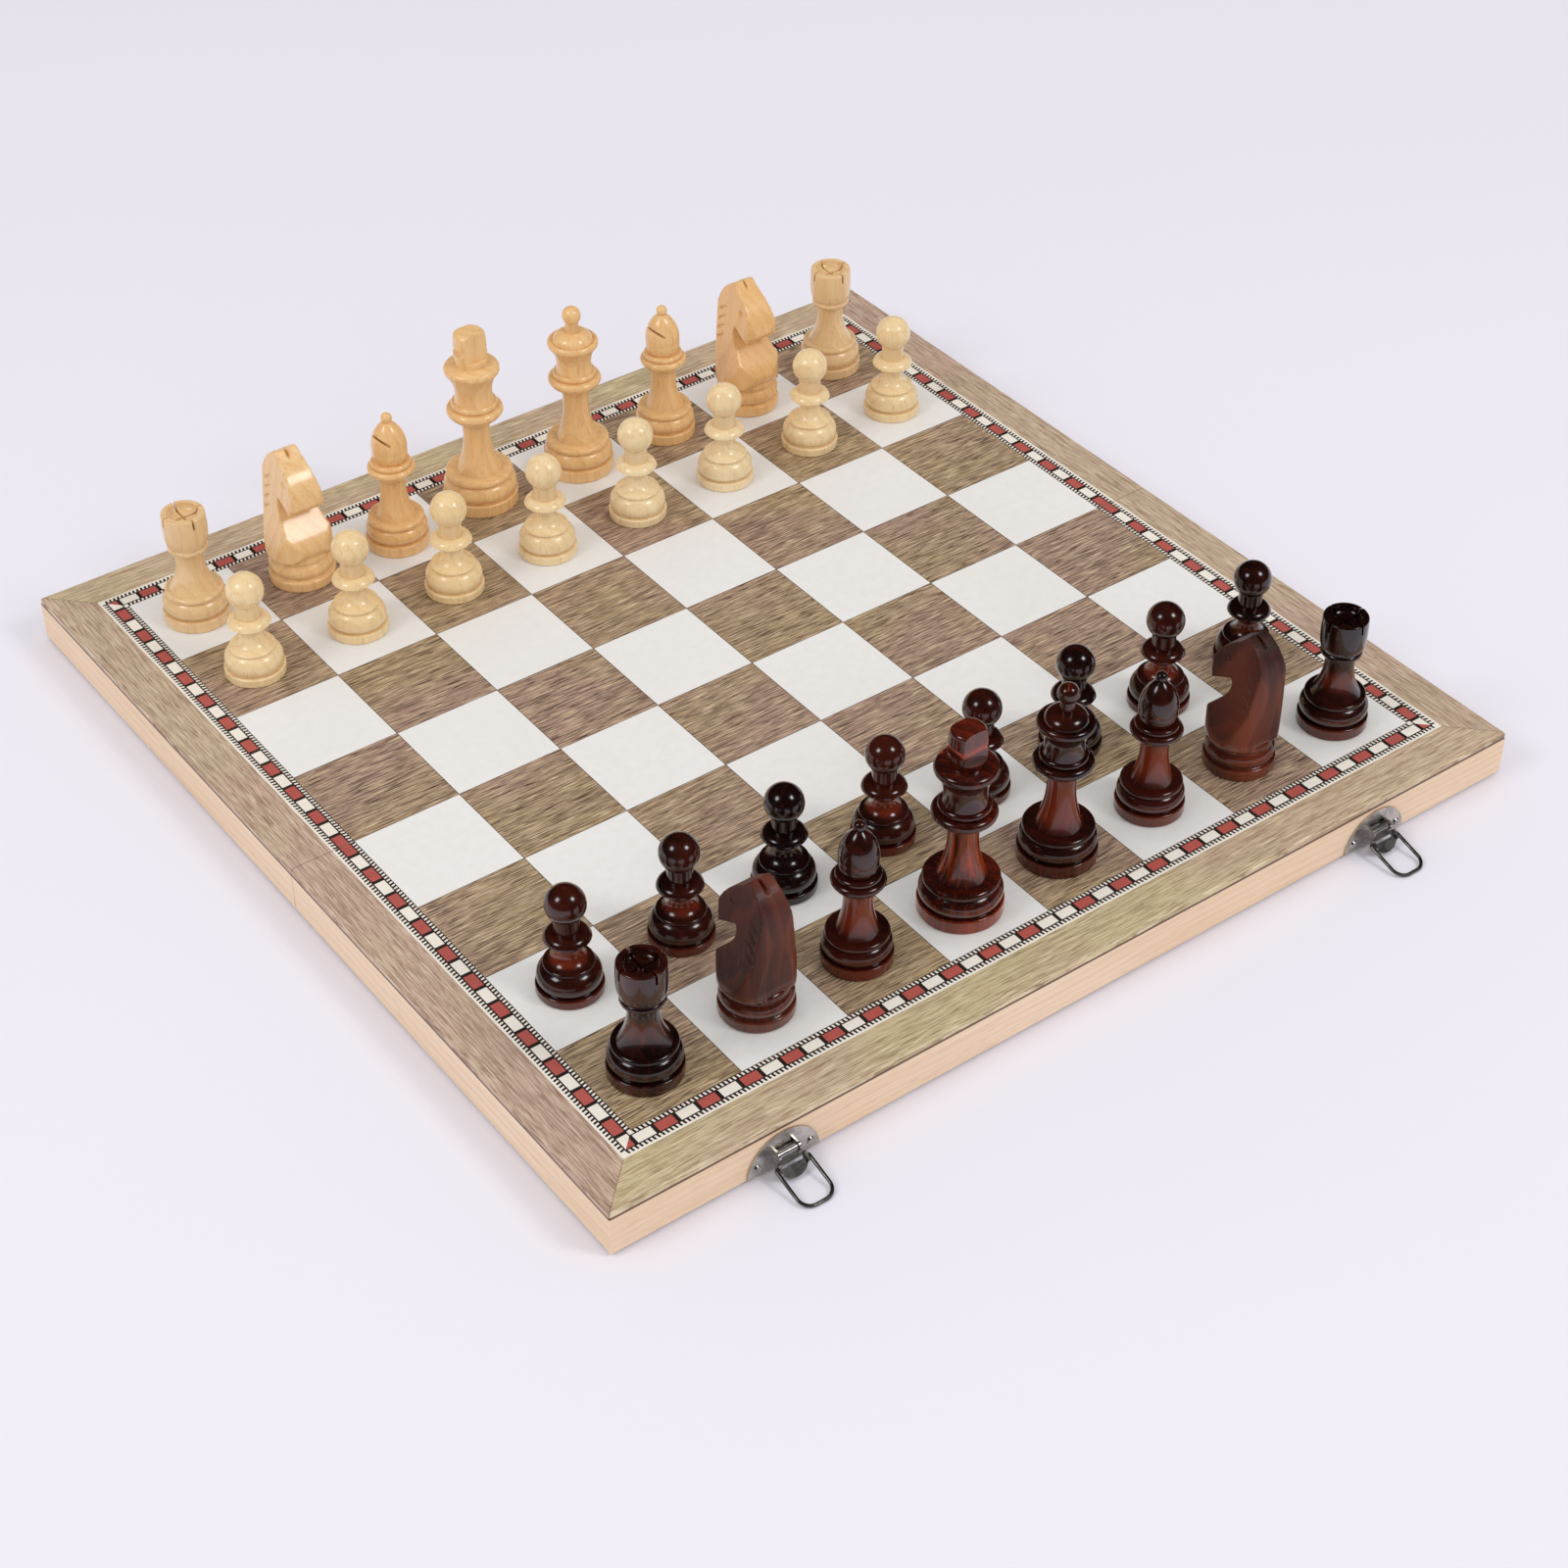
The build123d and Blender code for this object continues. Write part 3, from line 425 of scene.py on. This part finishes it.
# Hinges
# Two small brass-coloured steel butt hinges are let into the fold rails' rims, each with two
# leaves, a pin and four countersunk screws. They are rolled and stamped from thin sheet.
worn, source, sink = group(
    "Worn Metal",
    [("Vector", "NodeSocketVector", (0, 0, 0)), ("Bright", "NodeSocketColor", (1, 1, 1, 1)),
     ("Dull", "NodeSocketColor", (0.5, 0.5, 0.5, 1)), ("Roughness", "NodeSocketFloat", 0.3)],
    [("Color", "NodeSocketColor"), ("Roughness", "NodeSocketFloat"), ("Height", "NodeSocketFloat")])
spot = source.outputs["Vector"]
tarnish = step(worn, noise(worn, spot, (260, 260, 260), 4), 0.4, 0.66)
scratch = step(worn, noise(worn, spot, (300, 4200, 2600), 2), 0.58, 0.7)
speck = step(worn, noise(worn, spot, (1900, 1900, 1900), 1), 0.66, 0.74)
body = mixed(worn, calc(worn, "MULTIPLY", tarnish, 0.6), source.outputs["Bright"], source.outputs["Dull"])
body = mixed(worn, calc(worn, "MULTIPLY", speck, 0.5), body, (0.06, 0.05, 0.045, 1))
worn.links.new(body, sink.inputs["Color"])
gloss = calc(worn, "ADD", source.outputs["Roughness"], calc(worn, "MULTIPLY", tarnish, 0.16))
worn.links.new(calc(worn, "ADD", gloss, calc(worn, "MULTIPLY", scratch, 0.1)), sink.inputs["Roughness"])
worn.links.new(calc(worn, "ADD", scratch, speck), sink.inputs["Height"])


def metal(name, bright, dull, roughness):
    """Metal with tarnish, hairline scratches, pits and rubbed edges."""
    made, tree, shader, place = material(name)
    skin = place_group(tree, worn, {"Vector": place, "Bright": bright, "Dull": dull, "Roughness": roughness})
    edge = step(tree, tree.nodes.new("ShaderNodeNewGeometry").outputs["Pointiness"], 0.52, 0.62)
    rubbed = mixed(tree, calc(tree, "MULTIPLY", edge, 0.5), skin["Color"], bright)
    tree.links.new(rubbed, shader.inputs["Base Color"])
    tree.links.new(skin["Roughness"], shader.inputs["Roughness"])
    relief(tree, shader, skin["Height"], 0.2, 0.00003)
    shader.inputs["Metallic"].default_value = 1.0
    return made


hinge_finish = metal("Plated Hinge", colour(206, 182, 132), colour(140, 112, 70), 0.3)
screw_finish = metal("Zinc Screws", colour(196, 196, 190), colour(120, 118, 112), 0.32)
for hand in ("left", "right"):
    for tone in ("light", "dark"):
        dress(f"{hand}_hinge_{tone}_leaf", hinge_finish)
dress("hinge_pins", hinge_finish)
for tone in ("light", "dark"):
    dress(f"{tone}_hinge_screws", screw_finish)


# Latches and catches
# Stamped nickel plates nailed to the dark tray carry a short lever and a bent wire loop; hooked
# plates are nailed to the light tray. The wire is darker, harder steel than the plates.
plate_finish = metal("Nickel Plate", colour(198, 194, 188), colour(116, 110, 104), 0.24)
lever_finish = metal("Nickel Lever", colour(176, 172, 168), colour(96, 92, 88), 0.28)
wire_finish = metal("Steel Wire", colour(128, 124, 122), colour(66, 62, 60), 0.26)
nail_finish = metal("Nail Heads", colour(204, 200, 194), colour(110, 104, 98), 0.2)
for hand in ("left", "right"):
    dress(f"{hand}_latch_plate", plate_finish)
    dress(f"{hand}_latch_lever", lever_finish)
    dress(f"{hand}_latch_bail", wire_finish)
    dress(f"{hand}_catch_plate", plate_finish)
for name in ("lever_pins", "latch_nails", "catch_nails"):
    dress(name, nail_finish)


# Light men
# Sixteen men turned on a lathe from pale close-grained hardwood and coated in clear varnish. The
# large ones came out a deeper honey colour than the pawns, and no two pieces match.
def varnish(name, pale, honey, deep):
    """Clear varnish over wood whose grain stands upright in the piece, with painted shade darkening its
    hollows.
    """
    made, tree, shader, place = material(name)
    chance = tree.nodes.new("ShaderNodeObjectInfo").outputs["Random"]
    wood = place_group(tree, figure, {"Vector": place, "Ring Spacing": 0.0042,
                                      "Seed": calc(tree, "MULTIPLY", chance, 9.0)})
    body = mixed(tree, spread(tree, chance, 0.0, 0.75), pale, honey)
    body = mixed(tree, calc(tree, "MULTIPLY", step(tree, wood["Blotch"], 0.35, 0.7), 0.45), body, honey)
    body = mixed(tree, calc(tree, "MULTIPLY", wood["Ring"], 0.42), body, deep)
    body = mixed(tree, calc(tree, "MULTIPLY", step(tree, wood["Fibre"], 0.5, 0.72), 0.3), body, deep)
    body = mixed(tree, calc(tree, "MULTIPLY", wood["Fleck"], 0.2), body, colour(150, 98, 50))
    # Painted shade: the hollows between the turned rings, where shade falls, are darkened towards brown.
    hollow_shade = step(tree, tree.nodes.new("ShaderNodeNewGeometry").outputs["Pointiness"], 0.49, 0.42)
    body = mixed(tree, calc(tree, "MULTIPLY", hollow_shade, 0.2), body, colour(186, 128, 70))
    tree.links.new(body, shader.inputs["Base Color"])
    runs = noise(tree, place, (130, 130, 60), 3)
    tree.links.new(spread(tree, runs, 0.2, 0.36), shader.inputs["Roughness"])
    relief(tree, shader, calc(tree, "ADD", wood["Fibre"], runs), 0.1, 0.0001)
    shader.inputs["Coat Weight"].default_value = 0.55
    shader.inputs["Coat Roughness"].default_value = 0.12
    return made


def soften(node):
    """Rounds a carved head's sawn edges as a file and sandpaper do."""
    skin = node.modifiers.new("filed", "REMESH")
    skin.mode = "VOXEL"
    skin.voxel_size = 0.00042
    skin.use_smooth_shade = True
    relax = node.modifiers.new("sanded", "SMOOTH")
    relax.factor = 0.5
    relax.iterations = 4


honey_varnish = varnish("Honey Varnish", colour(246, 207, 150), colour(240, 190, 124), colour(220, 160, 96))
straw_varnish = varnish("Straw Varnish", colour(243, 212, 164), colour(234, 195, 140), colour(214, 168, 112))
pale_varnish = varnish("Pale Varnish", colour(252, 231, 188), colour(246, 214, 158), colour(228, 188, 130))
for name in ("king", "queen", "left_bishop", "right_bishop", "left_knight", "right_knight"):
    piece = dress(f"light_{name}", honey_varnish)
    if name.endswith("knight"):
        soften(piece)
for name in ("left_rook", "right_rook"):
    dress(f"light_{name}", straw_varnish)
for number in range(1, 9):
    dress(f"light_pawn_{number}", pale_varnish)


# Dark men
# The same sixteen shapes under a thick red-brown lacquer, almost black where it pooled and worn
# through to orange-red on the rings' edges. The knights' carved heads stay matt.
def lacquer(name, black, brown, red, wear, matt=0.0):
    """Pooled glossy lacquer, thin on the stem, foot and edges so that the stained wood shows."""
    made, tree, shader, place = material(name)
    inside = tree.nodes.new("ShaderNodeTexCoord").outputs["Generated"]
    out = vector(tree, "MULTIPLY", vector(tree, "SUBTRACT", inside, (0.5, 0.5, 0)), (2, 2, 0))
    out = vector(tree, "LENGTH", out)
    height = put(tree, "ShaderNodeSeparateXYZ", {"Vector": inside}).outputs["Z"]
    stem = calc(tree, "MULTIPLY", step(tree, out, 0.62, 0.44), step(tree, height, 0.58, 0.48))
    bare = calc(tree, "MAXIMUM", stem, calc(tree, "MULTIPLY", step(tree, out, 0.94, 1.0), 0.6))
    chance = tree.nodes.new("ShaderNodeObjectInfo").outputs["Random"]
    wood = place_group(tree, figure, {"Vector": place, "Ring Spacing": 0.005,
                                      "Seed": calc(tree, "MULTIPLY", chance, 9.0)})
    pool = calc(tree, "ADD", wood["Blotch"], calc(tree, "MULTIPLY", wood["Ring"], 0.1))
    thin = step(tree, pool, 0.42, 0.72)
    body = mixed(tree, thin, black, brown)
    body = mixed(tree, calc(tree, "MULTIPLY", step(tree, wood["Fibre"], 0.5, 0.7), 0.35), body, brown)
    sharp = tree.nodes.new("ShaderNodeNewGeometry").outputs["Pointiness"]
    rub = calc(tree, "MULTIPLY", step(tree, sharp, 0.55, 0.66), step(tree, wood["Blotch"], 0.3, 0.62))
    body = mixed(tree, calc(tree, "MULTIPLY", rub, wear), body, red)
    chafe = calc(tree, "ADD", wood["Blotch"], calc(tree, "MULTIPLY", wood["Fibre"], 0.4))
    patchy = step(tree, chafe, 0.45, 0.9)
    body = mixed(tree, calc(tree, "MULTIPLY", calc(tree, "MULTIPLY", bare, patchy), wear), body, red)
    tree.links.new(body, shader.inputs["Base Color"])
    runs = noise(tree, place, (150, 150, 70), 3)
    carved = calc(tree, "MULTIPLY", step(tree, height, 0.25, 0.3), matt)
    gloss = calc(tree, "ADD", spread(tree, runs, 0.14, 0.28), carved)
    tree.links.new(gloss, shader.inputs["Roughness"])
    coat = calc(tree, "SUBTRACT", 0.6, calc(tree, "MULTIPLY", carved, 1.8))
    tree.links.new(coat, shader.inputs["Coat Weight"])
    relief(tree, shader, calc(tree, "ADD", wood["Fibre"], runs), 0.12, 0.0001)
    shader.inputs["Coat Roughness"].default_value = 0.06
    shader.inputs["Specular IOR Level"].default_value = 0.4
    return made


dark_lacquer = lacquer("Dark Lacquer", colour(20, 6, 4), colour(62, 19, 9), colour(128, 46, 20), wear=0.8)
king_lacquer = lacquer("Rubbed Lacquer", colour(42, 12, 6), colour(112, 34, 13), colour(196, 74, 28),
                       wear=1.0)
head_lacquer = lacquer("Knight Lacquer", colour(52, 19, 11), colour(102, 42, 23), colour(150, 74, 42),
                       wear=0.5, matt=0.3)
for name in ("queen", "left_bishop", "right_bishop", "left_rook", "right_rook"):
    dress(f"dark_{name}", dark_lacquer)
for number in range(1, 9):
    dress(f"dark_pawn_{number}", dark_lacquer)
dress("dark_king", king_lacquer)
for hand in ("left", "right"):
    soften(dress(f"dark_{hand}_knight", head_lacquer))


# Studio
# A pale table top, a soft surrounding light, two softboxes for the twin highlights on the
# lacquer, and the camera at the photograph's angle.
table_finish, tree, shader, place = material("Table Top")
cloth = noise(tree, place, (6, 6, 6), 2)
tree.links.new(mixed(tree, cloth, colour(238, 236, 246), colour(236, 235, 244)), shader.inputs["Base Color"])
shader.inputs["Roughness"].default_value = 0.9
shader.inputs["Specular IOR Level"].default_value = 0.1
mesh = bpy.data.meshes.new("table_top")
reach = 6
corners = [(-reach, -reach, 0), (reach, -reach, 0), (reach, reach, 0), (-reach, reach, 0)]
mesh.from_pydata(corners, [], [(0, 1, 2, 3)])
mesh.materials.append(table_finish)
table_top = bpy.data.objects.new("table_top", mesh)
bpy.context.collection.objects.link(table_top)

world = bpy.data.worlds.new("Studio")
bpy.context.scene.world = world
world.use_nodes = True
tree = world.node_tree
path = tree.nodes.new("ShaderNodeLightPath").outputs
sky = tree.nodes["Background"]
seen = mixed(tree, path["Is Glossy Ray"], colour(240, 238, 238), colour(30, 26, 25))
seen = mixed(tree, path["Is Camera Ray"], seen, colour(255, 253, 255))
tree.links.new(seen, sky.inputs["Color"])
sky.inputs["Strength"].default_value = 0.86


def facing(place, aim):
    """Rotation that points a lamp or a camera from its place at a spot."""
    return (Vector(aim) - Vector(place)).to_track_quat("-Z", "Y").to_euler()


def softbox(name, place, aim, size, power):
    """Square soft light pointing at a spot."""
    data = bpy.data.lights.new(name, "AREA")
    data.energy = power
    data.size = size
    lamp = bpy.data.objects.new(name, data)
    lamp.location = place
    lamp.rotation_euler = facing(place, aim)
    bpy.context.collection.objects.link(lamp)


board_middle = (0, 0, 0.02)
softbox("left_softbox", (-1.5, 0.1, 1.5), board_middle, size=0.6, power=8)
softbox("right_softbox", (0.8, -1.4, 1.7), board_middle, size=0.6, power=11)

lens = bpy.data.cameras.new("camera")
lens.sensor_width = 36
lens.lens = 68.23
lens.clip_start = 0.01
camera = bpy.data.objects.new("camera", lens)
camera_place = (-0.5117, -0.7039, 0.6925)
camera_aim = (-0.0322, -0.0552, 0.0192)
camera.location = camera_place
camera.rotation_euler = facing(camera_place, camera_aim)
bpy.context.collection.objects.link(camera)
bpy.context.scene.camera = camera
bpy.context.scene.view_settings.view_transform = "Standard"
